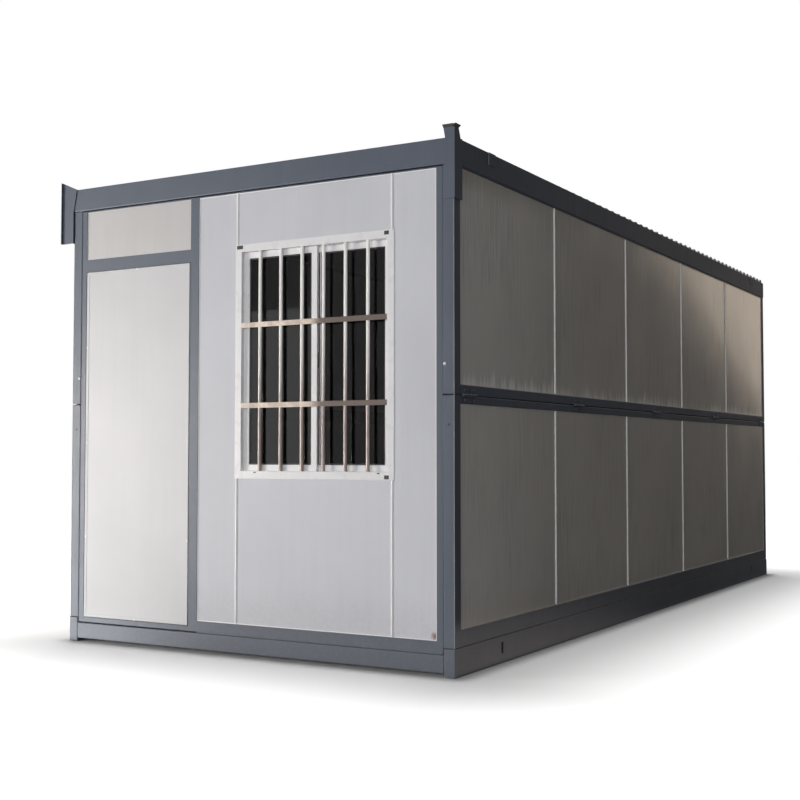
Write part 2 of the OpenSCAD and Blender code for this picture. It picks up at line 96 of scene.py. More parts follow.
# Place across the front wall, height and size of its rust spot
RUST_SPOT = (1.100, 0.185, 0.028)
# Share of a flat ring's height that its edges are rounded by
RING_ROUND = 0.4
# Half the width of the shaded floor under the house
SHADE_X = 1.215
# Place, target, width and depth of each lamp
LAMPS = {
    "key": ((-7.5, -8.5, 1.05), (-0.4, -2.9, 1.2), 3.6, 1.9),
    "fill": ((2.6, -22.0, 4.0), (0.5, -2.9, 1.2), 5.0, 5.0),
    "rear": ((-7.0, 10.0, 3.0), (-0.5, 1.0, 1.2), 4.0, 4.0),
    "top": ((-3.0, 1.5, 9.5), (-1.0, 0.5, 1.0), 7.0, 7.0),
}
EFFECTS = {}
FINISH = {}


def colour(name, description, value):
    """A colour property with its linear default."""
    return FloatVectorProperty(name=name, description=description, subtype="COLOR", size=3,
                               min=0, max=1, default=value)


def length(name, description, value):
    """A length property in metres."""
    return FloatProperty(name=name, description=description, unit="LENGTH", min=0, default=value)


def lengths(name, description, values):
    """Several lengths of one piece, in metres."""
    return FloatVectorProperty(name=name, description=description, unit="LENGTH", min=0,
                               size=len(values), default=values)


def angle(name, description, degrees):
    """An angle property, its default given in degrees."""
    return FloatProperty(name=name, description=description, subtype="ANGLE", default=math.radians(degrees))


def strength(name, description, value, subtype="NONE"):
    """A property for the strength of a light."""
    return FloatProperty(name=name, description=description, subtype=subtype, min=0, default=value)


class HouseSizes(bpy.types.PropertyGroup):
    """Sizes of the small pieces that finish the house."""
    steel_round: length("Steel edge radius", "Rounding of the edges of the steel members", 0.0050)
    plate_round: length("Plate edge radius", "Rounding of the edges of guide plates and hinges", 0.0012)
    panel_round: length("Panel edge radius", "Rounding of the folded edges of the panels", 0.0030)
    window_round: length("Window edge radius", "Rounding of the window's bars", 0.0018)
    seal: lengths("Panel seal", "Width and height of the sealant round a field of panels", (0.005, 0.0025))
    gasket: lengths("Gasket", "Width and height of the rubber gasket round a pane", (0.007, 0.0028))
    door_edge: lengths("Door edging", "Width and height of the leaf's metal edging", (0.016, 0.0016))
    clip: lengths("Door clip", "Width, length and height of a clip on the leaf", (0.008, 0.014, 0.003))
    plug: lengths("Post plug", "Radius, rise and level of the dark post plugs", (0.0055, 0.002, 1.174))
    cap: lengths("Post cap", "Radius, rise, inset and level of the post caps", (0.008, 0.005, 0.010, 1.459))
    screw: lengths("Roof screw", "Radius, rise and inset of the roof screws", (0.009, 0.005, 0.10))
    bolt: lengths("Leaf bolt", "Radius, rise and inset of a fold hinge's bolts", (0.006, 0.004, 0.010))
    block: lengths("Corner block", "Width, height, rise, depth and rounding of a window's corner block",
                   (0.026, 0.019, 0.0012, 0.002, 0.0006))
    # Drain slots are black blocks: painted shade of the slots
    drain: lengths("Drain", "Width and height of the drain slots at the window's foot", (0.015, 0.005))
    # The wide black brush: partly a seal, partly painted shade on the right sash's stile
    brush: lengths("Brush seal", "Width, rise and depth of the seal between sashes", (0.022, 0.001, 0.004))
    fin: lengths("Fin", "Width, rise and rounding of the white fin beside the brush", (0.0035, 0.006, 0.0005))
    hook: lengths("Sash hook", "Gap, rise, reach down, reach up and rounding of the hook",
                  (0.001, 0.010, 0.05, 0.03, 0.002))
    web: lengths("Guide web", "Depth at the lip, start and end of the web's foot", (0.039, 0.050, 0.057))
    side_bead_r: length("Side bead radius", "Radius of the half-round beads on the side joints", 0.0045)
    end_bead_r: length("End bead radius", "Radius of the half-round beads on the end joints", 0.0060)
    edge_play: length("Edge play", "Gap left beside the edge seals of an end wall", 0.0012)
    edge_depth: length("Edge seal depth", "Depth of the edge seals of an end wall", 0.008)
    door_gap: length("Door gap", "Gap between the door leaf and its frame", 0.0065)
    door_seal_w: length("Door seal", "Width of the strip in the gap round the door", 0.004)
    screw_rows: IntProperty(name="Screw rows", description="Rows of screws along the roof", default=5)
    leaf_t: length("Leaf thickness", "Thickness of a leaf of a fold hinge", 0.003)
    sash_rail: length("Sash rail", "Height of the sash rails that end the brush seal", 0.034)
    sheet_turn: angle("Roof sheet turn", "Turn of the roof sheet as it was laid on the beams", 0.45)
    sheet_round: length("Roof sheet round", "Round of the roof sheet's thin edges", 0.0004)
    sheet_trim: length("Roof sheet trim", "Width trimmed off each side of the roof sheet", 0.006)
    rib_count: IntProperty(name="Roof ribs", description="Ribs on the roof sheet", default=55)
    # Painted highlight: a pale bead down each front post's outer corner
    highlight_r: length("Corner highlight radius", "Radius of the painted highlight down the front posts' corners", 0.0024)
    lip: length("Guide lip", "Reach of the lip bent out at the top of the right guide", 0.012)
    # The right guide's lip and rim are black: painted shadow under the lip
    shadow_rim_t: length("Guide rim thickness", "Thickness of the rim of the lip", 0.001)


class HouseColours(bpy.types.PropertyGroup):
    """Base colours of the finishes, linear."""
    steel: colour("Frame paint", "Grey paint of the steel frame", (0.092, 0.112, 0.150))
    side_panel: colour("Side panels", "Coated sheet of the side walls", (0.66, 0.625, 0.59))
    front_panel: colour("End panels", "Coated sheet of the end walls", (0.68, 0.698, 0.758))
    transom: colour("Transom", "Panel over the door", (0.61, 0.60, 0.61))
    door: colour("Door", "Coated sheet of the door leaf", (0.67, 0.675, 0.70))
    strip: colour("Joint strips", "Strips and seals between the panels", (0.95, 0.95, 0.95))
    window: colour("Window bars", "Window frame and sashes", (0.88, 0.885, 0.91))
    # The black rubber also paints shade: under the right guide's lip, in the drain slots, and in part beside
    # the meeting stile
    rubber: colour("Rubber", "Gaskets and corner blocks", (0.018, 0.018, 0.019))
    glass: colour("Glass tint", "Tint of the panes", (0.15, 0.15, 0.157))
    # Guard tube colours, darker at the foot and pale at the top: partly the tubes' own tone, partly a painted
    # reflection
    guard: colour("Guard tubes, dull", "Tubes of the window guard at the foot", (0.40, 0.33, 0.31))
    guard_sheen: colour("Guard tubes, painted sheen", "Tubes of the window guard at the top", (0.95, 0.93, 0.92))
    # Painted highlight: pale paint down the corners of the front posts
    wear: colour("Corner highlight", "Pale paint that stands for the highlight on the corners of the posts", (0.25, 0.26, 0.28))
    rail: colour("Guard rails", "Cross rails of the guard", (0.80, 0.68, 0.58))
    # The right part of the cross rails: partly own tone, partly a painted reflection
    rail_shade: colour("Guard rails, dull", "Right part of the cross rails, darker as a painted reflection", (0.40, 0.34, 0.30))
    roof: colour("Roof sheet", "Coating of the ribbed roof sheet", (0.62, 0.64, 0.66))
    ceiling: colour("Ceiling", "Coating of the ceiling panel", (0.72, 0.72, 0.71))
    floor: colour("Floor boards", "Boards of the floor deck", (0.29, 0.19, 0.11))
    dust: colour("Dust", "Dust and dried splashes near the ground", (0.33, 0.31, 0.285))
    drip: colour("Drips", "Pale drips over the fold of the side walls", (0.92, 0.89, 0.85))
    rust: colour("Rust", "Rust at chips and drips", (0.23, 0.085, 0.030))


class HouseStage(bpy.types.PropertyGroup):
    """Camera, light and floor of the stage."""
    camera: FloatVectorProperty(name="Camera", description="Place of the camera", subtype="XYZ",
                                unit="LENGTH", size=3, default=(3.895, -8.094, 1.033))
    yaw: angle("Yaw", "Turn of the camera to the left of +Y", 29.95)
    pitch: angle("Pitch", "Upward tilt of the camera", 2.50)
    lens: FloatProperty(name="Lens", description="Focal length for a 36 mm sensor",
                        subtype="DISTANCE_CAMERA", default=56.34)
    floor: colour("Floor", "Pale floor and backdrop", (0.90, 0.90, 0.90))
    bounce: colour("Floor bounce", "Colour of the light that the floor sends back", (0.28, 0.275, 0.27))
    card: colour("Dark cards", "Cards that darken the reflections", (0.060, 0.052, 0.046))
    before: colour("Front cards", "Cards before the house, dim in its reflections", (0.232, 0.226, 0.238))
    glow: colour("Warm card colour", "Bright card in the far reflections", (0.97, 0.82, 0.66))
    near_glow: strength("Near card", "Light of the card beside the near bay", 0.26)
    yard_glow: strength("Yard card", "Light of the card on the floor at the front left", 9.0)
    warm_glow: strength("Warm card", "Light of the warm card", 1.1)
    ground_glow: strength("Ground card", "Light of the card on the floor at the right", 12.0)
    ambient: strength("Ambient", "Strength of the even light from all round", 0.155)
    floor_glow: strength("Floor glow", "Light of the floor seen away from the house", 0.86)
    key_tint: colour("Key tint", "Colour of the lamp at the front left", (1.0, 0.945, 0.885))
    key: strength("Key", "Power of the lamp at the front left", 480, "POWER")
    fill: strength("Fill", "Power of the far lamp at the front right", 1080, "POWER")
    rear: strength("Rear", "Power of the lamp behind the house", 420, "POWER")
    top: strength("Top", "Power of the lamp over the house", 350, "POWER")


# Selecting and shaping pieces

def select_only(piece):
    """Make one object the only selected one, and active."""
    bpy.ops.object.select_all(action="DESELECT")
    piece.select_set(True)
    bpy.context.view_layer.objects.active = piece


def primitive(add, name, **settings):
    """Add a primitive under a name, with nothing else selected."""
    bpy.ops.object.select_all(action="DESELECT")
    add(**settings)
    piece = bpy.context.object
    piece.name = name
    return piece


def edit(piece, select="SELECT"):
    """Open one object in edit mode with all or nothing of it selected."""
    select_only(piece)
    bpy.ops.object.mode_set(mode="EDIT")
    bpy.ops.mesh.select_all(action=select)


def close():
    """Leave edit mode."""
    bpy.ops.object.mode_set(mode="OBJECT")


def thicken(by):
    """Raise the sheet in edit mode by a vector into a solid, and leave edit mode."""
    bpy.ops.mesh.select_all(action="SELECT")
    bpy.ops.mesh.extrude_region_move(TRANSFORM_OT_translate={"value": by})
    bpy.ops.mesh.select_all(action="SELECT")
    bpy.ops.mesh.normals_make_consistent(inside=False)
    close()


def apply_modifier(piece, kind, **settings):
    """Add a modifier with its settings and apply it at once."""
    modifier = piece.modifiers.new(kind.lower(), kind)
    for name, value in settings.items():
        setattr(modifier, name, value)
    select_only(piece)
    bpy.ops.object.modifier_apply(modifier=modifier.name)


def smooth(piece):
    """Smooth shading with crisp edges, weighted by the size of the faces."""
    select_only(piece)
    bpy.ops.object.shade_smooth_by_angle(angle=SMOOTH_ANGLE)
    apply_modifier(piece, "WEIGHTED_NORMAL", keep_sharp=True)


def round_edges(piece, radius, segments=3):
    """Round the sharp edges of a piece, as folded sheet and rolled tube are."""
    apply_modifier(piece, "BEVEL", width=radius, segments=segments, limit_method="ANGLE",
                   angle_limit=math.radians(35), miter_outer="MITER_ARC")
    smooth(piece)


def cad_copy(node, name):
    """A copy of a solid as one welded mesh with large flat faces."""
    piece = bpy.data.objects.new(name, frame["nodes"][node].data.copy())
    bpy.context.scene.collection.objects.link(piece)
    select_only(piece)
    bpy.ops.mesh.customdata_custom_splitnormals_clear()
    edit(piece)
    bpy.ops.mesh.remove_doubles(threshold=MERGE)
    bpy.ops.mesh.dissolve_limited(angle_limit=FLAT_ANGLE)
    close()
    return piece


def solids(node):
    """Lowest and highest corners of each separate solid in a node."""
    piece = cad_copy(node, node + "_solids")
    edit(piece)
    bpy.ops.mesh.separate(type="LOOSE")
    close()
    parts = list(bpy.context.selected_objects)
    boxes = []
    for part in parts:
        points = [vertex.co for vertex in part.data.vertices]
        boxes.append((Vector(map(min, *points)), Vector(map(max, *points))))
        bpy.data.meshes.remove(part.data)
    return sorted(boxes, key=lambda box: tuple(box[0]))


def settle(piece, body, finish, slot, *nodes):
    """Give a finished piece its finish and its body, and hide the solids that it stands for."""
    piece.data.materials.clear()
    piece.data.materials.append(FINISH[finish])
    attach(piece, body)
    if nodes:
        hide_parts(*nodes)
    return piece


def dress(node, radius, finish, segments=3):
    """Stand a copy of a solid with rounded edges in its place."""
    piece = cad_copy(node, node + "_skin")
    round_edges(piece, radius, segments)
    return settle(piece, BODY_OF[node], finish, SLOT_OF[node], node)


def join(pieces, name):
    """Join pieces into one mesh with its place in its points."""
    select_only(pieces[0])
    for piece in pieces:
        piece.select_set(True)
    bpy.ops.object.join()
    joined = bpy.context.view_layer.objects.active
    joined.name = name
    bpy.ops.object.transform_apply(location=True, rotation=True, scale=True)
    return joined


def facing(direction):
    """Turn that stands a flat sheet, drawn in XY, so that it faces a direction across the ground."""
    return UP.rotation_difference(direction).to_matrix().to_4x4()


def frame_ring(name, low, high, out, width, height, rounded=True):
    """A flat ring on the face of a box: a plane, inset, its middle deleted, raised and rounded."""
    middle = (low + high) / 2
    depth_axis = 0 if abs(out.x) else 1
    across = 1 - depth_axis
    middle[depth_axis] = high[depth_axis] if out[depth_axis] > 0 else low[depth_axis]
    ring = primitive(bpy.ops.mesh.primitive_plane_add, name, size=1)
    turn = Matrix.Rotation(math.radians(90), 4, "X")
    if depth_axis == 0:
        turn = Matrix.Rotation(math.radians(90), 4, "Z") @ turn
    span = Matrix.Diagonal((high[across] - low[across], high.z - low.z, 1, 1))
    ring.data.transform(Matrix.Translation(middle) @ turn @ span)
    edit(ring)
    bpy.ops.mesh.inset(thickness=width)
    bpy.ops.mesh.delete(type="FACE")
    thicken(out * height)
    if rounded:
        round_edges(ring, height * RING_ROUND, 2)
    return ring


def dome(name, place, out, radius, height, sides=20):
    """A low round cap: a disc raised, its top edge rounded."""
    cap = primitive(bpy.ops.mesh.primitive_cylinder_add, name, vertices=sides, radius=radius, depth=height)
    cap.data.transform(Matrix.Translation(place + out * (height / 2)) @ facing(out))
    # Only the top face stays selected for the rounding
    edit(cap, "DESELECT")
    close()
    top = (place + out * height).dot(out)
    for face in cap.data.polygons:
        face.select = abs(face.center.dot(out) - top) < MERGE
    bpy.ops.object.mode_set(mode="EDIT")
    bpy.ops.mesh.bevel(offset=height * 0.8, segments=3, affect="EDGES")
    close()
    smooth(cap)
    return cap


def slab(name, across, along, upright, radius):
    """A small block with rounded edges between two places on each axis."""
    low, high = map(Vector, zip(across, along, upright))
    piece = primitive(bpy.ops.mesh.primitive_cube_add, name, size=1)
    piece.data.transform(Matrix.Translation((low + high) / 2) @ Matrix.Diagonal((*(high - low), 1)))
    round_edges(piece, radius, 2)
    return piece


def plate(name, corners, depth, radius):
    """A plate with four corners, raised by a vector and rounded."""
    piece = primitive(bpy.ops.mesh.primitive_plane_add, name, size=1)
    for index, corner in zip((0, 1, 3, 2), corners):
        piece.data.vertices[index].co = corner
    edit(piece)
    thicken(depth)
    round_edges(piece, radius, 2)
    return piece


def half_round(name, foot, height, out, radius):
    """An upright half-round bead: a round bar with its back half cut away."""
    bar = primitive(bpy.ops.mesh.primitive_cylinder_add, name, vertices=24, radius=radius, depth=height)
    bar.data.transform(Matrix.Translation(foot + UP * (height / 2)))
    edit(bar)
    bpy.ops.mesh.bisect(plane_co=foot, plane_no=out, clear_inner=True, use_fill=True)
    close()
    smooth(bar)
    return bar


# Shader building

def toned(base, factor):
    """A colour made darker or lighter."""
    return tuple(min(1, value * factor) for value in base)


class Sketch:
    """A node tree with short ways to add nodes; most methods give the socket of their result."""

    def __init__(self, tree):
        self.tree = tree

    def feed(self, node, inputs):
        """Link sockets to a node's inputs, and set plain values on them."""
        for name, value in inputs.items():
            if isinstance(value, bpy.types.NodeSocket):
                self.tree.links.new(value, node.inputs[name])
            else:
                node.inputs[name].default_value = value

    def put(self, kind, inputs=None, **settings):
        """Add a node with its settings and inputs; gives the node."""
        node = self.tree.nodes.new(kind)
        for name, value in settings.items():
            setattr(node, name, value)
        self.feed(node, inputs or {})
        return node

    def math(self, operation, *values):
        """A Math node on one or two values."""
        return self.put("ShaderNodeMath", dict(enumerate(values)), operation=operation).outputs[0]

    def times(self, a, b):
        """Product of two values."""
        return self.math("MULTIPLY", a, b)

    def plus(self, a, b):
        """Sum of two values."""
        return self.math("ADD", a, b)

    def less(self, a, b):
        """The first value less the second."""
        return self.math("SUBTRACT", a, b)

    def stretch(self, value, low, high, to_low=0.0, to_high=1.0):
        """A smooth step of a value from one range to another."""
        return self.put("ShaderNodeMapRange", {0: value, 1: low, 2: high, 3: to_low, 4: to_high},
                        interpolation_type="SMOOTHSTEP").outputs[0]

    def place(self, scale=(1, 1, 1)):
        """Object coordinates, scaled."""
        spot = self.put("ShaderNodeTexCoord").outputs["Object"]
        return self.put("ShaderNodeMapping", {"Vector": spot, "Scale": scale}).outputs[0]

    def axes(self, vector=None):
        """The three parts of a vector, or else of the Object coordinates."""
        return self.put("ShaderNodeSeparateXYZ", {0: self.place() if vector is None else vector}).outputs

    def noise(self, scale, detail=4.0, rough=0.55, squeeze=(1, 1, 1)):
        """A noise value on Object coordinates."""
        return self.put("ShaderNodeTexNoise", {"Vector": self.place(squeeze), "Scale": scale,
                                               "Detail": detail, "Roughness": rough}).outputs["Fac"]

    def mix(self, factor, a, b):
        """A colour between two colours."""
        a, b = (value if isinstance(value, bpy.types.NodeSocket) else (*value, 1) for value in (a, b))
        return self.put("ShaderNodeMix", {0: factor, 6: a, 7: b}, data_type="RGBA").outputs[2]

    def use(self, name, **values):
        """Place a shared effect with its own values; gives its outputs."""
        return self.put("ShaderNodeGroup", values, node_tree=EFFECTS[name]).outputs

    def bump(self, height, strength, distance):
        """A normal from a height."""
        return self.put("ShaderNodeBump", {"Height": height, "Strength": strength,
                                           "Distance": distance}).outputs[0]


class Paint(Sketch):
    """A new material with its Principled shader."""

    def __init__(self, name):
        self.material = bpy.data.materials.new(name)
        self.material.use_nodes = True
        super().__init__(self.material.node_tree)

    def done(self, inputs):
        """Feed the shader's own sockets; gives the material."""
        self.feed(self.tree.nodes["Principled BSDF"], inputs)
        return self.material


class Effect(Sketch):
    """A shader node group with named float inputs and outputs."""

    def __init__(self, name, inputs, *outputs):
        super().__init__(bpy.data.node_groups.new(name, "ShaderNodeTree"))
        sockets = self.tree.interface
        for label, value in inputs.items():
            socket = sockets.new_socket(name=label, in_out="INPUT", socket_type="NodeSocketFloat")
            socket.default_value = value
        for label in outputs:
            sockets.new_socket(name=label, in_out="OUTPUT", socket_type="NodeSocketFloat")
        self.given = self.tree.nodes.new("NodeGroupInput").outputs
        self.result = self.tree.nodes.new("NodeGroupOutput")

    def done(self, **results):
        """Link the group's outputs; gives the group."""
        self.feed(self.result, results)
        return self.tree


def ground_dirt():
    """Dust and splashes that thin out upwards from a height."""
    effect = Effect("ground_dirt", {"Low": 0.1, "High": 0.4, "Amount": 0.5}, "Mask")
    level = effect.less(effect.axes()[2], effect.times(effect.noise(7.0, 6.0, 0.65), 0.25))
    fade = effect.stretch(level, effect.given["Low"], effect.given["High"], 1.0, 0.0)
    specks = effect.stretch(effect.noise(55.0, 5.0, 0.6), 0.35, 0.75)
    dirty = effect.times(fade, effect.plus(effect.times(specks, 0.6), 0.4))
    return effect.done(Mask=effect.times(dirty, effect.given["Amount"]))


def rain_streaks():
    """Fine upright streaks left by rain and dust."""
    effect = Effect("rain_streaks", {"Fineness": 40.0, "Amount": 0.5}, "Mask", "Height")
    lines = effect.noise(effect.given["Fineness"], 5.0, 0.6, (1, 1, 0.035))
    patches = effect.stretch(effect.noise(1.7, 3.0), 0.3, 0.75)
    streaks = effect.times(effect.stretch(lines, 0.38, 0.70), patches)
    return effect.done(Mask=effect.times(streaks, effect.given["Amount"]), Height=lines)


def fine_ribs():
    """Fine upright ribs rolled into a sheet, even in pitch and uneven in depth."""
    effect = Effect("fine_ribs", {"Pitch": 0.027}, "Height")
    across, along, _ = effect.axes()
    turns = effect.times(effect.math("DIVIDE", effect.plus(across, along), effect.given["Pitch"]), math.tau)
    uneven = effect.stretch(effect.noise(22.0, 3.0, 0.6, (1, 1, 0.05)), 0.3, 0.7, 0.2, 1.0)
    return effect.done(Height=effect.times(effect.math("SINE", turns), uneven))


def wall_drips():
    """Pale drips that run down to a height, over a patch of a wall."""
    effect = Effect("drips", {"Foot": 1.36, "Reach": 0.12}, "Mask")
    rise = effect.math("DIVIDE", effect.less(effect.axes()[2], effect.given["Foot"]), effect.given["Reach"])
    lines = effect.noise(34.0, 3.0, 0.6, (1, 1, 0.03))
    patch = effect.stretch(effect.noise(0.8, 2.0), 0.30, 0.55)
    over = effect.less(lines, effect.times(effect.math("ABSOLUTE", rise), 0.45))
    return effect.done(Mask=effect.times(effect.stretch(over, 0.25, 0.55), patch))


def paint_chips():
    """Small chips and rubbed spots in paint."""
    effect = Effect("paint_chips", {"Scale": 28.0, "Rarity": 0.70}, "Mask")
    over = effect.less(effect.noise(effect.given["Scale"], 7.0, 0.7), effect.given["Rarity"])
    where = effect.stretch(effect.noise(1.1, 3.0), 0.48, 0.66)
    return effect.done(Mask=effect.times(effect.stretch(over, 0.0, 0.03), where))


def painted_steel(colours):
    """Grey sprayed paint: orange peel, dust low down, chips with rust, duller on the long sides."""
    paint = Paint("frame_paint")
    tone = paint.stretch(paint.noise(2.2, 5.0), 0.25, 0.75)
    coat = paint.mix(tone, toned(colours.steel, 0.95), toned(colours.steel, 1.05))
    coat = paint.mix(paint.use("streaks", Fineness=26.0, Amount=0.05)["Mask"], coat, colours.dust)
    dirt = paint.use("dirt", Low=-0.05, High=0.20, Amount=0.14)["Mask"]
    coat = paint.mix(dirt, coat, colours.dust)
    coat = paint.mix(paint.use("chips", Scale=34.0, Rarity=0.68)["Mask"], coat, colours.rust)
    rough = paint.stretch(paint.noise(9.0), 0.3, 0.7, 0.40, 0.45)
    aside = paint.math("ABSOLUTE", paint.axes(paint.put("ShaderNodeTexCoord").outputs["Normal"])[0])
    dull = paint.times(paint.stretch(aside, 0.6, 0.95), paint.stretch(paint.axes()[2], 0.15, 0.30))
    return paint.done({"Base Color": coat,
                       "Roughness": paint.plus(rough, paint.times(dirt, 0.3)),
                       "Specular IOR Level": paint.stretch(dull, 0.0, 1.0, 0.42, 0.02),
                       "Normal": paint.bump(paint.noise(420.0, 2.0), 0.12, 0.001)})


def coated_sheet(name, base, colours, streaks, fineness, dirt_high, dirt, rough=(0.34, 0.46), specular=0.5,
                 wave=0.10, ribs=0.0, drips=0.0, spot=None):
    """Coated sheet: faint streaks, ribs with painted shade along them, slow waviness, dust at the foot,
    drips, a rust spot.
    """
    paint = Paint(name)
    tone = paint.stretch(paint.noise(0.9), 0.25, 0.75)
    sheet = paint.mix(tone, toned(base, 0.93), toned(base, 1.05))
    lines = paint.use("streaks", Fineness=fineness, Amount=streaks)
    sheet = paint.mix(lines["Mask"], sheet, toned(base, 0.70))
    rolled = paint.use("ribs")["Height"]
    # Painted shade along the fine ribs: the colour darkens with their height
    sheet = paint.mix(paint.stretch(rolled, -1.0, 1.0, 0.0, ribs), sheet, toned(base, 0.5))
    sheet = paint.mix(paint.times(paint.use("drips")["Mask"], drips), sheet, colours.drip)
    foot = paint.use("dirt", Low=0.10, High=dirt_high, Amount=dirt)["Mask"]
    sheet = paint.mix(foot, sheet, colours.dust)
    if spot:
        sheet = paint.mix(rust_spot(paint, *spot), sheet, colours.rust)
    polish = paint.stretch(paint.noise(3.0), 0.3, 0.7, *rough)
    fine = paint.plus(paint.times(lines["Height"], 0.05), paint.times(rolled, 0.05 * ribs))
    return paint.done({"Base Color": sheet,
                       "Roughness": paint.plus(polish, paint.times(foot, 0.25)),
                       "Specular IOR Level": specular,
                       "Normal": paint.bump(paint.plus(paint.noise(2.6, 1.0), fine), wave, 0.01)})


def rust_spot(paint, x, z, size):
    """Mask of a ragged spot at a place on the front wall."""
    across, along, height = paint.axes()
    aside = paint.math("POWER", paint.less(across, x), 2.0)
    above = paint.math("POWER", paint.less(height, z), 2.0)
    behind = paint.math("MAXIMUM", along, 0.0)
    away = paint.plus(paint.math("SQRT", paint.plus(aside, above)), behind)
    ragged = paint.times(paint.noise(70.0, 5.0, 0.65), size * 1.6)
    return paint.stretch(paint.plus(away, ragged), size * 0.8, size * 1.9, 0.9, 0.0)


def plain_coat(name, base, rough, speck=0.06):
    """Smooth moulded or powder-coated surface with a faint speckle."""
    paint = Paint(name)
    coat = paint.mix(paint.noise(6.0, 5.0), toned(base, 1 - speck), toned(base, 1 + speck))
    coat = paint.mix(paint.use("streaks", Fineness=60.0, Amount=0.12)["Mask"], coat, toned(base, 0.7))
    return paint.done({"Base Color": coat,
                       "Roughness": paint.stretch(paint.noise(14.0), 0.3, 0.7, rough * 0.85, rough * 1.15),
                       "Normal": paint.bump(paint.noise(180.0, 2.0), 0.05, 0.001)})


def bare_tube(name, colours):
    """Polished tube with faint stains; darker towards the foot, darker on the right of the cross rails and
    pale at the top, partly in its own tone and partly as a painted reflection.
    """
    paint = Paint(name)
    stains = paint.stretch(paint.noise(14.0, 4.0, 0.6), 0.35, 0.7)
    across, _, height = paint.axes()
    low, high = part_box("window_guard")
    dull = [(low.x + high.x) / 2 + reach for reach in RAIL_SHADE]
    rail = paint.math("MAXIMUM", *(paint.stretch(paint.math("ABSOLUTE", paint.less(height, level)),
                                                 *RAIL_EDGE, 1.0, 0.0) for level in GUARD_RAILS))
    # Painted reflection, partly own tone: the tubes turn from a darker foot to a pale top
    foot = paint.mix(stains, toned(colours.guard, 0.80), colours.guard)
    tube = paint.mix(paint.stretch(height, *TUBE_SHEEN), foot, colours.guard_sheen)
    bright = paint.mix(stains, toned(colours.rail, 0.70), colours.rail)
    # Painted reflection, partly own tone: the cross rails turn darker on their right
    bright = paint.mix(paint.stretch(across, *dull), bright, colours.rail_shade)
    worn = paint.stretch(paint.noise(40.0, 3.0), 0.3, 0.7, 0.0, 0.03)
    return paint.done({"Base Color": paint.mix(rail, tube, bright),
                       "Metallic": paint.stretch(rail, 0.0, 1.0, 0.15, 1.0),
                       "Roughness": paint.plus(paint.stretch(rail, 0.0, 1.0, 0.20, 0.045), worn)})


def dark_glass(colours):
    """Tinted pane with a film of dust."""
    paint = Paint("window_pane")
    film = paint.stretch(paint.noise(5.0, 5.0), 0.3, 0.8)
    return paint.done({"Base Color": paint.mix(film, colours.glass, toned(colours.glass, 0.85)),
                       "Roughness": paint.stretch(paint.noise(22.0), 0.3, 0.8, 0.015, 0.05),
                       "Transmission Weight": 1.0, "IOR": 1.5})


def boards(colours):
    """Floor boards along the house with grain and dark joints."""
    paint = Paint("floor_boards")
    turned = paint.put("ShaderNodeMapping", {"Vector": paint.place(),
                                             "Rotation": (0, 0, math.radians(90))}).outputs[0]
    tones = {name: (*toned(colours.floor, factor), 1)
             for name, factor in (("Color1", 0.85), ("Color2", 1.15), ("Mortar", 0.25))}
    layout = paint.put("ShaderNodeTexBrick", {"Vector": turned, "Scale": 1.0, "Mortar Size": 0.0015,
                                              "Bias": 0.0, "Brick Width": 1.22, "Row Height": 0.15,
                                              **tones}).outputs
    grain = paint.noise(26.0, 7.0, 0.6, (1, 0.06, 1))
    wood = paint.mix(paint.stretch(grain, 0.35, 0.7), layout["Color"], toned(colours.floor, 0.55))
    relief = paint.less(grain, paint.times(layout["Fac"], 2.0))
    return paint.done({"Base Color": wood,
                       "Roughness": paint.stretch(grain, 0.3, 0.7, 0.40, 0.55),
                       "Normal": paint.bump(relief, 0.15, 0.002)})


def ready(context):
    """Build the shared effects and all finishes once; gives the sizes."""
    if not FINISH:
        make_finishes(context.scene.house_colours)
    return context.scene.house_sizes


def make_finishes(colours):
    """Build the shared effects and all finishes."""
    EFFECTS.update(dirt=ground_dirt(), streaks=rain_streaks(), chips=paint_chips(), ribs=fine_ribs(),
                   drips=wall_drips())
    FINISH.update(
        steel=painted_steel(colours),
        side_panel=coated_sheet("side_sheet", colours.side_panel, colours, 0.95, 95.0, 0.30, 0.06,
                                rough=(0.11, 0.15), wave=0.02, ribs=0.10, drips=1.0),
        front_panel=coated_sheet("end_sheet", colours.front_panel, colours, 0.12, 30.0, 0.26, 0.16,
                                 specular=0.2, spot=RUST_SPOT),
        transom=coated_sheet("transom_sheet", colours.transom, colours, 0.20, 30.0, 0.2, 0.0),
        door=coated_sheet("door_sheet", colours.door, colours, 0.10, 24.0, 0.24, 0.03,
                          rough=(0.40, 0.46), specular=0.4),
        joint_strip=plain_coat("strip_coat", colours.strip, 0.35),
        window_frame=plain_coat("window_coat", colours.window, 0.30),
        wear=plain_coat("worn_paint", colours.wear, 0.45),
        rubber=plain_coat("black_rubber", colours.rubber, 0.55, 0.15),
        glass=dark_glass(colours),
        guard=bare_tube("guard_steel", colours),
        pin=bare_tube("pin_steel", colours),
        floor=boards(colours),
        roof_sheet=coated_sheet("roof_coat", colours.roof, colours, 0.5, 18.0, 0.1, 0.0, rough=(0.40, 0.55)),
        ceiling=plain_coat("ceiling_coat", colours.ceiling, 0.5),
    )


# Operators

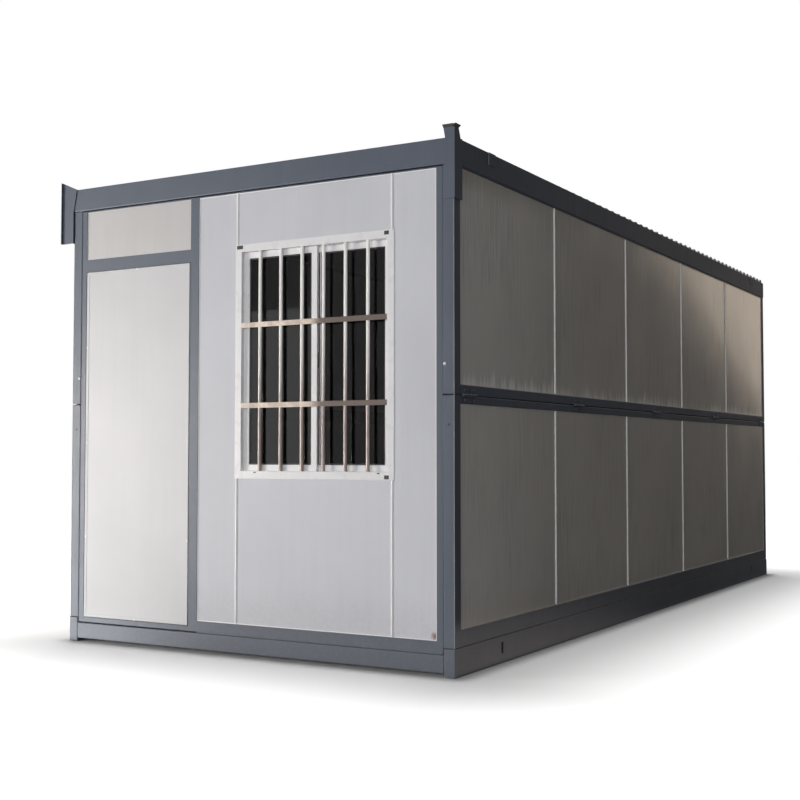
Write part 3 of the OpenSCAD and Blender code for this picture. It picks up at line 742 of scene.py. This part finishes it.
class HOUSE_OT_stage(bpy.types.Operator):
    """Build the pale floor, the soft lights, the cards and the camera"""
    bl_idname = "house.stage"
    bl_label = "Stage"

    def execute(self, context):
        stage = context.scene.house_stage
        self.floor(stage)
        self.world(context, stage)
        lamps = {name: self.softbox(name, getattr(stage, name)) for name in LAMPS}
        lamps["key"].data.color = stage.key_tint
        lamps["rear"].visible_glossy = False
        self.cards(stage)
        self.camera(context, stage)
        context.scene.view_settings.view_transform = "Standard"
        return {"FINISHED"}

    def seen(self, sketch):
        """1 for camera, glossy and transmission rays, else 0."""
        path = sketch.put("ShaderNodeLightPath").outputs
        first = sketch.math("MAXIMUM", path["Is Camera Ray"], path["Is Glossy Ray"])
        return sketch.math("MAXIMUM", first, path["Is Transmission Ray"])

    def sheet(self, name, size, matrix, material):
        """A flat sheet of the stage, stood in its place."""
        sheet = primitive(bpy.ops.mesh.primitive_plane_add, name, size=1)
        sheet.data.transform(matrix @ Matrix.Diagonal((*size, 1, 1)))
        sheet.data.materials.append(material)
        sheet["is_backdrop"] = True
        return sheet

    def floor(self, stage):
        """Floor that turns white away from the house and keeps the shadow beside it."""
        paint = Paint("studio_floor_paint")
        seen = self.seen(paint)
        beyond = [paint.math("MAXIMUM", paint.less(paint.math("ABSOLUTE", axis), reach), 0.0)
                  for axis, reach in zip(paint.axes(), (SHADE_X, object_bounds()[1].y))]
        away = paint.math("SQRT", paint.plus(*(paint.math("POWER", gap, 2.0) for gap in beyond)))
        glow = paint.plus(paint.stretch(away, 0.0, 0.12, 0.0, 0.3), paint.stretch(away, 0.0, 1.1, 0.0, 0.7))
        material = paint.done({"Base Color": paint.mix(seen, stage.bounce, stage.floor),
                               "Roughness": 0.9, "Specular IOR Level": 0.0, "Emission Color": (1, 1, 1, 1),
                               "Emission Strength": paint.times(paint.times(seen, stage.floor_glow), glow)})
        self.sheet("studio_floor", (160, 160), Matrix.Translation((0, 0, -0.0005)), material)

    def world(self, context, stage):
        """White all round, and an even dim light from it."""
        world = bpy.data.worlds.new("studio_world")
        context.scene.world = world
        world.use_nodes = True
        sketch = Sketch(world.node_tree)
        light = sketch.stretch(self.seen(sketch), 0.0, 1.0, stage.ambient, 1.0)
        sketch.feed(world.node_tree.nodes["Background"], {"Color": (1, 1, 1, 1), "Strength": light})

    def card_cloth(self, name, tint, glow=0.0, fade=None):
        """Cloth of a card that may shine, fading along a direction between two distances."""
        paint = Paint(name)
        cloth = paint.mix(paint.noise(3.0), toned(tint, 0.8), tint)
        if fade:
            direction, start, end = fade
            along = paint.put("ShaderNodeVectorMath", {0: paint.place(), 1: direction},
                              operation="DOT_PRODUCT").outputs["Value"]
            glow = paint.stretch(along, start, end, glow, 0.0)
        return paint.done({"Base Color": cloth, "Emission Color": cloth, "Emission Strength": glow,
                           "Roughness": 1.0, "Specular IOR Level": 0.0})

    def cards(self, stage):
        """Cards beside and before the house, seen only in its reflections."""
        dark = self.card_cloth("card_cloth", stage.card)
        warm = self.card_cloth("warm_cloth", stage.glow, stage.warm_glow)
        front = self.card_cloth("front_cloth", stage.before, 1.0)
        near = self.card_cloth("near_cloth", (0.2, 0.2, 0.2), stage.near_glow * 5, ((0, 1, 0), -1.1, 1.0))
        ground = self.card_cloth("floor_cloth", stage.card, stage.ground_glow, ((0, 1, 0), -2.6, 0.4))
        yard = self.card_cloth("yard_cloth", stage.floor, stage.yard_glow, ((1, -0.9, 0), 1.4, 2.5))
        move = Matrix.Translation
        upright = Matrix.Rotation(math.radians(90), 4, "X")
        along = Matrix.Rotation(math.radians(90), 4, "Z") @ upright
        askew = Matrix.Rotation(math.radians(-25), 4, "Z")
        lean = Matrix(((1, 0, 0.6, 0), (0, 1, 0, 0), (0, 0, 1, 0), (0, 0, 0, 1)))
        cards = (
            ("side_card", (20, 20), move((7.8, 11.8, 0)) @ askew @ lean @ move((4.5, 0, 10)) @ upright, dark),
            ("warm_card", (30, 12), move((8.2, 13.0, 0)) @ askew @ move((0, 0, 6)) @ upright, warm),
            ("near_card", (3.6, 2.9), move((2.2, -0.8, 1.35)) @ along, near),
            ("floor_card", (16, 24), move((9.225, 8.5, 0.003)), ground),
            ("yard_card", (9, 8), move((-4.5, -6.95, 0.002)), yard),
            ("front_card", (9.0, 12), move((-0.28, -10.6, 5.8)) @ upright, front),
            ("upper_card", (1.5, 9), move((-5.53, -10.6, 7.37)) @ upright, front),
        )
        for card in cards:
            sheet = self.sheet(*card)
            sheet.visible_camera = sheet.visible_diffuse = sheet.visible_shadow = False

    def softbox(self, name, power):
        """An area lamp from the table of lamps."""
        spot, target, width, depth = LAMPS[name]
        lamp = bpy.data.lights.new(name, "AREA")
        lamp.shape = "RECTANGLE"
        lamp.size = width
        lamp.size_y = depth
        lamp.energy = power
        box = bpy.data.objects.new(name, lamp)
        box.location = spot
        box.rotation_euler = (Vector(target) - Vector(spot)).to_track_quat("-Z", "Y").to_euler()
        bpy.context.scene.collection.objects.link(box)
        return box

    def camera(self, context, stage):
        """Camera where the photo was taken from."""
        view = bpy.data.cameras.new("photo_camera")
        view.lens = stage.lens
        view.sensor_width = 36
        view.sensor_fit = "HORIZONTAL"
        eye = bpy.data.objects.new("photo_camera", view)
        eye.location = stage.camera
        eye.rotation_euler = (math.radians(90) + stage.pitch, 0, stage.yaw)
        context.scene.collection.objects.link(eye)
        context.scene.camera = eye


class HOUSE_OT_frame_steel(bpy.types.Operator):
    """Paint the beams, posts, rails and guides, with their edges rounded"""
    bl_idname = "house.frame_steel"
    bl_label = "Steel frame"

    def execute(self, context):
        sizes = ready(context)
        thin = ("front_left_guide", "front_right_guide", "left_fold_hinges", "right_fold_hinges")
        for node, slot in SLOT_OF.items():
            if slot in ("steel", "pin") and node != "door_pivots":
                radius = sizes.plate_round if node in thin or slot == "pin" else sizes.steel_round
                dress(node, radius, "steel")
        return {"FINISHED"}


class HOUSE_OT_panels(bpy.types.Operator):
    """Finish the wall panels with folded edges, their strips and the sealant round them"""
    bl_idname = "house.panels"
    bl_label = "Panels and seals"

    def execute(self, context):
        sizes = ready(context)
        walls = {f"{side}_{half}_panels": side for side in SIDES for half in HALVES}
        walls.update(front_wall_panels="front", transom_panel="front", rear_wall_panels="rear")
        for node, side in walls.items():
            finish = "transom" if node == "transom_panel" else SLOT_OF[node]
            dress(node, sizes.panel_round if side in SIDES else sizes.plate_round, finish)
            low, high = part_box(node)
            seal = frame_ring(node + "_seal", low, high, OUT[side], *sizes.seal)
            coat = "joint_strip" if finish == "front_panel" else finish
            settle(seal, BODY_OF[node], coat, SLOT_OF[node])
        for side in OUT:
            dress(f"{side}_joint_strips", sizes.window_round, "joint_strip")
            radius = sizes.side_bead_r if side in SIDES else sizes.end_bead_r
            self.beads(f"{side}_joint_strips", side, radius)
        return {"FINISHED"}

    def beads(self, node, side, radius):
        """Half-round beads over the strips, left out where the window's trim covers them."""
        window_low, window_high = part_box("window_frame")
        out = OUT[side]
        bars = []
        for low, high in solids(node):
            foot = (low + high) / 2 + out * (abs((high - low).dot(out)) / 2 - MERGE)
            spans = [(low.z, high.z)]
            if side == "front":
                spans = [(low.z, window_low.z), (window_high.z, high.z)]
            bars += [half_round("bead", Vector((foot.x, foot.y, start)), end - start, out, radius)
                     for start, end in spans]
        settle(join(bars, node + "_beads"), BODY_OF[node], "joint_strip", SLOT_OF[node])


class HOUSE_OT_edge_seals(bpy.types.Operator):
    """Close the play at the sides and the foot of the end walls with grey seals"""
    bl_idname = "house.edge_seals"
    bl_label = "Edge seals"

    def execute(self, context):
        sizes = ready(context)
        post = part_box("right_lower_frame")[0].x - sizes.edge_play
        for side, start in (("front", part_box("front_wall_panels")[0].x), ("rear", -post)):
            low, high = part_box(f"{side}_wall_frame")
            face = low.y if side == "front" else high.y
            depth = sorted((face, face - OUT[side].y * sizes.edge_depth))
            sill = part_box(f"base_{side}_beam")[1].z + sizes.edge_play
            rise = (low.z, high.z)
            spans = (((-post, low.x), rise), ((high.x, post), rise), ((start, high.x), (sill, low.z)))
            seals = [slab("seal", across, depth, upright, sizes.edge_play / 2) for across, upright in spans]
            settle(join(seals, f"{side}_wall_edge_seals"), f"{side}_wall", "steel", "steel")
        for side in SIDES:
            self.fold_gasket(side, sizes)
        return {"FINISHED"}

    def fold_gasket(self, side, sizes):
        """Rubber in the seam between the two halves of a side wall."""
        low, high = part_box(f"{side}_lower_frame")
        foot, top = high.z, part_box(f"{side}_upper_frame")[0].z
        middle, half = (low.x + high.x) / 2, sizes.gasket[0]
        along = (low.y + sizes.edge_depth, high.y - sizes.edge_depth)
        gasket = slab(f"{side}_fold_gasket", (middle - half, middle + half), along, (foot, top),
                      sizes.edge_play / 2)
        settle(gasket, "house", "rubber", "steel")


class HOUSE_OT_door(bpy.types.Operator):
    """Finish the door leaf with its metal edging, clips, pivots and the strips in its gap"""
    bl_idname = "house.door"
    bl_label = "Door"

    def execute(self, context):
        sizes = ready(context)
        dress("door_leaf", sizes.panel_round, "door")
        low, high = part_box("door_leaf")
        for side in ("front", "rear"):
            edging = frame_ring(f"door_edging_{side}", low, high, OUT[side], *sizes.door_edge)
            settle(edging, "door", "door", SLOT_OF["door_leaf"])
        dress("door_pivots", sizes.plate_round / 2, "pin")
        self.seals(low, high, sizes)
        self.clips(low, high, sizes)
        return {"FINISHED"}

    def clips(self, low, high, sizes):
        """White clips on the edge of the leaf: three at the left, one at the right, top and foot."""
        wide, long, rise = sizes.clip
        middle, half = (low.x + high.x) / 2, long / 2
        left = (low.x + rise, low.x + rise + wide)
        level = (middle - half, middle + half)
        spans = [(left, (z - half, z + half)) for z in CLIP_LEVELS]
        spans.append(((high.x - wide, high.x), spans[0][1]))
        spans += [(level, (z, z + wide)) for z in (low.z, high.z - wide)]
        clips = [slab("clip", across, (low.y - rise, low.y), upright, rise / 4) for across, upright in spans]
        settle(join(clips, "door_clips"), "door", "window_frame", "window_frame")

    def seals(self, low, high, sizes):
        """Grey strips on the frame that narrow the gap round the leaf."""
        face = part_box("front_wall_frame")[0].y + sizes.seal[1] / 2
        gap, near = sizes.door_gap, sizes.door_gap - sizes.door_seal_w
        rise = (low.z - gap, high.z + gap)
        level = (low.x - near, high.x + near)
        spans = (((low.x - gap, low.x - near), rise), ((high.x + near, high.x + gap), rise),
                 (level, (low.z - gap, low.z - near)), (level, (high.z + near, high.z + gap)))
        strips = [slab("strip", across, (face, face + sizes.edge_depth), upright, sizes.edge_play / 2)
                  for across, upright in spans]
        settle(join(strips, "door_frame_seal"), "front_wall", "steel", "steel")


class HOUSE_OT_window(bpy.types.Operator):
    """Finish the window: frame, sashes, panes, gaskets, corner blocks, brush seal and hook"""
    bl_idname = "house.window"
    bl_label = "Window"

    def execute(self, context):
        sizes = ready(context)
        dress("window_frame", sizes.window_round, "window_frame")
        dress("window_sashes", sizes.window_round, "window_frame")
        dress("window_glass", sizes.plate_round / 2, "glass", 2)
        gaskets = [frame_ring("gasket", low, high, OUT[side], *sizes.gasket, rounded=False)
                   for low, high in solids("window_glass") for side in ("front", "rear")]
        settle(join(gaskets, "window_gaskets"), "front_wall", "rubber", SLOT_OF["window_frame"])
        self.corner_blocks(sizes)
        self.meeting_stile(sizes)
        return {"FINISHED"}

    def corner_blocks(self, sizes):
        """Black blocks on three corners of the trim, and black blocks at its foot that paint the shade of the
        drain slots.
        """
        low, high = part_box("window_frame")
        width, height, rise, depth, radius = sizes.block
        edge = height / 4
        # The left block is wider, and the right ones stand about two widths in
        right = high.x - width * 2.1
        top = high.z - edge - height
        spans = [(low.x + edge * 2, top, width * 1.45, height), (right, top, width, height),
                 (right, low.z + edge, width, height)]
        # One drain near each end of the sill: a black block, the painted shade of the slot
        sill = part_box("window_sashes")[0].z - sizes.drain[1] * 2
        spans += [(x, sill, *sizes.drain)
                  for x in (low.x * 0.55 + high.x * 0.1, low.x * 0.1 + high.x * 0.9)]
        blocks = [slab("block", (x, x + wide), (low.y - rise, low.y + depth), (z, z + tall), radius)
                  for x, z, wide, tall in spans]
        settle(join(blocks, "window_corner_blocks"), "front_wall", "rubber", SLOT_OF["window_frame"])

    def meeting_stile(self, sizes):
        """Black brush seal, white fin and hook where the two sashes meet; the wide brush is partly a seal,
        partly painted shade on the right sash's stile.
        """
        front, back = solids("window_sashes")
        x, y = front[1].x, back[0].y
        upright = (front[0].z + sizes.sash_rail, front[1].z - sizes.sash_rail)
        middle = sum(upright) / 2
        wide, rise, depth = sizes.brush
        fin_wide, fin_rise, thin = sizes.fin
        gap, reach, below, above, radius = sizes.hook
        # The brush is partly a seal, partly painted shade on the right sash's stile
        brush = slab("brush", (x, x + wide), (y - rise, y + depth), upright, thin)
        hook = slab("hook", (x + gap, x + reach), (y - reach, y), (middle - below, middle + above), radius)
        fin = slab("window_fin", (x + reach, x + reach + fin_wide), (y - fin_rise, y), upright, thin)
        settle(join([brush, hook], "window_brush"), "front_wall", "rubber", SLOT_OF["window_frame"])
        settle(fin, "front_wall", "window_frame", SLOT_OF["window_frame"])


class HOUSE_OT_guard(bpy.types.Operator):
    """Finish the window guard's tubes"""
    bl_idname = "house.guard"
    bl_label = "Window guard"

    def execute(self, context):
        dress("window_guard", ready(context).plate_round, "guard", 2)
        return {"FINISHED"}


class HOUSE_OT_roof(bpy.types.Operator):
    """Finish the ribbed sheet, lay it a little askew and screw it down"""
    bl_idname = "house.roof"
    bl_label = "Roof"

    def execute(self, context):
        sizes = ready(context)
        dress("ceiling_panel", sizes.panel_round, "ceiling")
        low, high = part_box("roof_sheet")
        sheet = cad_copy("roof_sheet", "roof_sheet_skin")
        round_edges(sheet, sizes.sheet_round, 1)
        edit(sheet)
        bpy.ops.transform.resize(value=(1 - sizes.sheet_trim / high.x, 1, 1), center_override=(0, 0, 0))
        close()
        settle(sheet, "house", "roof_sheet", "roof_sheet", "roof_sheet")
        screws = settle(self.screws(sizes, low, high), "house", "pin", "roof_sheet")
        for piece in (sheet, screws):
            edit(piece)
            bpy.ops.transform.rotate(value=sizes.sheet_turn, orient_axis="Z", center_override=(0, 0, 0))
            close()
        return {"FINISHED"}

    def screws(self, sizes, low, high):
        """Rows of screws on the ribs: one washer, repeated along and across the roof."""
        radius, rise, inset = sizes.screw
        pitch = (high.y - low.y) / sizes.rib_count
        reach = high.x - inset
        across = 2 * reach / (sizes.screw_rows - 1)
        corner = Vector((-reach, low.y + pitch * RIB_TOP, high.z))
        screw = dome("roof_screws", corner, UP, radius, rise, sides=10)
        for count, step in ((sizes.rib_count, (0, pitch, 0)), (sizes.screw_rows, (across, 0, 0))):
            apply_modifier(screw, "ARRAY", count=count, use_relative_offset=False, use_constant_offset=True,
                           constant_offset_displace=step)
        return screw


class HOUSE_OT_floor(bpy.types.Operator):
    """Lay the floor boards"""
    bl_idname = "house.floor"
    bl_label = "Floor"

    def execute(self, context):
        dress("floor_deck", ready(context).plate_round, "floor")
        return {"FINISHED"}


class HOUSE_OT_fittings(bpy.types.Operator):
    """Set the caps and plugs of the posts, the painted highlights down their corners, the hinge bolts and the
    right guide's rim, black as painted shadow
    """
    bl_idname = "house.fittings"
    bl_label = "Fittings"

    def execute(self, context):
        sizes = ready(context)
        self.caps(sizes)
        self.hinge_bolts(sizes)
        self.guide_rim(sizes)
        self.corner_highlights(sizes)
        return {"FINISHED"}

    def corner_highlights(self, sizes):
        """Pale beads down the outer corners of the front posts, below the guides: a painted highlight."""
        bars = []
        for side in SIDES:
            low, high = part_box(f"{side}_lower_frame")
            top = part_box(f"front_{side}_guide")[0].z
            out = (OUT[side] + OUT["front"]).normalized()
            corner = Vector((high.x if side == "right" else low.x, low.y, low.z))
            # A pale bead paints the highlight on the post's corner
            bars.append(half_round("wear", corner - out * sizes.highlight_r, top - low.z, out, sizes.highlight_r))
        settle(join(bars, "front_post_wear"), "house", "wear", "steel")

    def caps(self, sizes):
        """White caps over the bolts of the posts and dark plugs in the front ones."""
        radius, rise, inset, level = sizes.cap
        plug_radius, plug_rise, plug_level = sizes.plug
        caps, plugs = [], []
        for side in SIDES:
            low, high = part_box(f"{side}_upper_frame")
            x = high.x - inset if side == "left" else low.x + inset
            for end, y in (("front", low.y), ("rear", high.y)):
                caps.append(dome("cap", Vector((x, y, level)), OUT[end], radius, rise))
            low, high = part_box(f"{side}_lower_frame")
            hole = Vector(((low.x + high.x) / 2, low.y, plug_level))
            plugs.append(dome("plug", hole, OUT["front"], plug_radius, plug_rise))
        settle(join(caps, "post_caps"), "house", "window_frame", "window_frame")
        settle(join(plugs, "post_plugs"), "house", "rubber", "steel")

    def hinge_bolts(self, sizes):
        """Four bolts on the leaves of each fold hinge."""
        radius, rise, inset = sizes.bolt
        for side in SIDES:
            bolts = []
            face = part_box(f"{side}_upper_frame")[side == "right"].x + OUT[side].x * sizes.leaf_t
            for low, high in solids(f"{side}_fold_hinges"):
                middle, aside = (low.y + high.y) / 2, (high.y - low.y) / 3
                bolts += [dome("bolt", Vector((face, y, z)), OUT[side], radius, rise, sides=12)
                          for y in (middle - aside, middle + aside) for z in (low.z + inset, high.z - inset)]
            settle(join(bolts, f"{side}_hinge_bolts"), "house", "steel", "steel")

    def guide_rim(self, sizes):
        """Upper part of the right guide's side leg, and its bent lip and rim in black: a painted shadow under
        the lip.
        """
        low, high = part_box("front_right_guide")
        roof_low, roof_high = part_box("roof_front_beam")
        inner, outer, corner = roof_high.x, high.x, roof_low.y
        roof, bend, lip = roof_high.z, high.z - sizes.lip, sizes.lip
        back, near, far = (corner + reach for reach in sizes.web)
        thin = sizes.plate_round / 3
        outline = ((corner, bend), (near, roof), (far, roof), (back, bend))
        web = plate("guide_web", [Vector((inner, *spot)) for spot in outline],
                    Vector((outer - inner, 0, 0)), thin)
        settle(web, "house", "steel", "steel")
        outline = ((inner, bend), (outer, bend), (outer + lip, high.z), (inner + lip, high.z))
        side_lip = plate("side_lip", [Vector((x, low.y, z)) for x, z in outline],
                         Vector((0, back - low.y, 0)), thin)
        face = low.y + lip
        outline = ((low.x, face, bend), (outer, face, bend), (outer, low.y, high.z), (low.x, low.y, high.z))
        rim = plate("front_rim", list(map(Vector, outline)), Vector((0, -sizes.shadow_rim_t, -sizes.shadow_rim_t)), thin)
        # The lip and rim take the black rubber finish: painted shadow of the lip's underside
        settle(join([side_lip, rim], "guide_rim"), "house", "rubber", "steel")


class HOUSE_PT_sidebar(bpy.types.Panel):
    """Lists the pieces of the house"""
    bl_idname = "HOUSE_PT_sidebar"
    bl_label = "Folding container house"
    bl_space_type = "VIEW_3D"
    bl_region_type = "UI"
    bl_category = "House"

    def draw(self, context):
        for operator in OPERATORS:
            self.layout.operator(operator.bl_idname)


GROUPS = (HouseSizes, HouseColours, HouseStage)
OPERATORS = (HOUSE_OT_stage, HOUSE_OT_frame_steel, HOUSE_OT_panels, HOUSE_OT_edge_seals, HOUSE_OT_door,
             HOUSE_OT_window, HOUSE_OT_guard, HOUSE_OT_roof, HOUSE_OT_floor, HOUSE_OT_fittings)
CLASSES = (*GROUPS, *OPERATORS, HOUSE_PT_sidebar)


def register():
    """Register the classes and hang the properties on the scene."""
    for cls in CLASSES:
        bpy.utils.register_class(cls)
    bpy.types.Scene.house_sizes = PointerProperty(type=HouseSizes)
    bpy.types.Scene.house_colours = PointerProperty(type=HouseColours)
    bpy.types.Scene.house_stage = PointerProperty(type=HouseStage)


def unregister():
    """Take the properties and the classes away again."""
    del bpy.types.Scene.house_sizes
    del bpy.types.Scene.house_colours
    del bpy.types.Scene.house_stage
    for cls in reversed(CLASSES):
        bpy.utils.unregister_class(cls)


def main():
    """Register, and build every piece in order."""
    register()
    for operator in OPERATORS:
        family, name = operator.bl_idname.split(".")
        getattr(getattr(bpy.ops, family), name)()


if __name__ == "__main__":
    main()
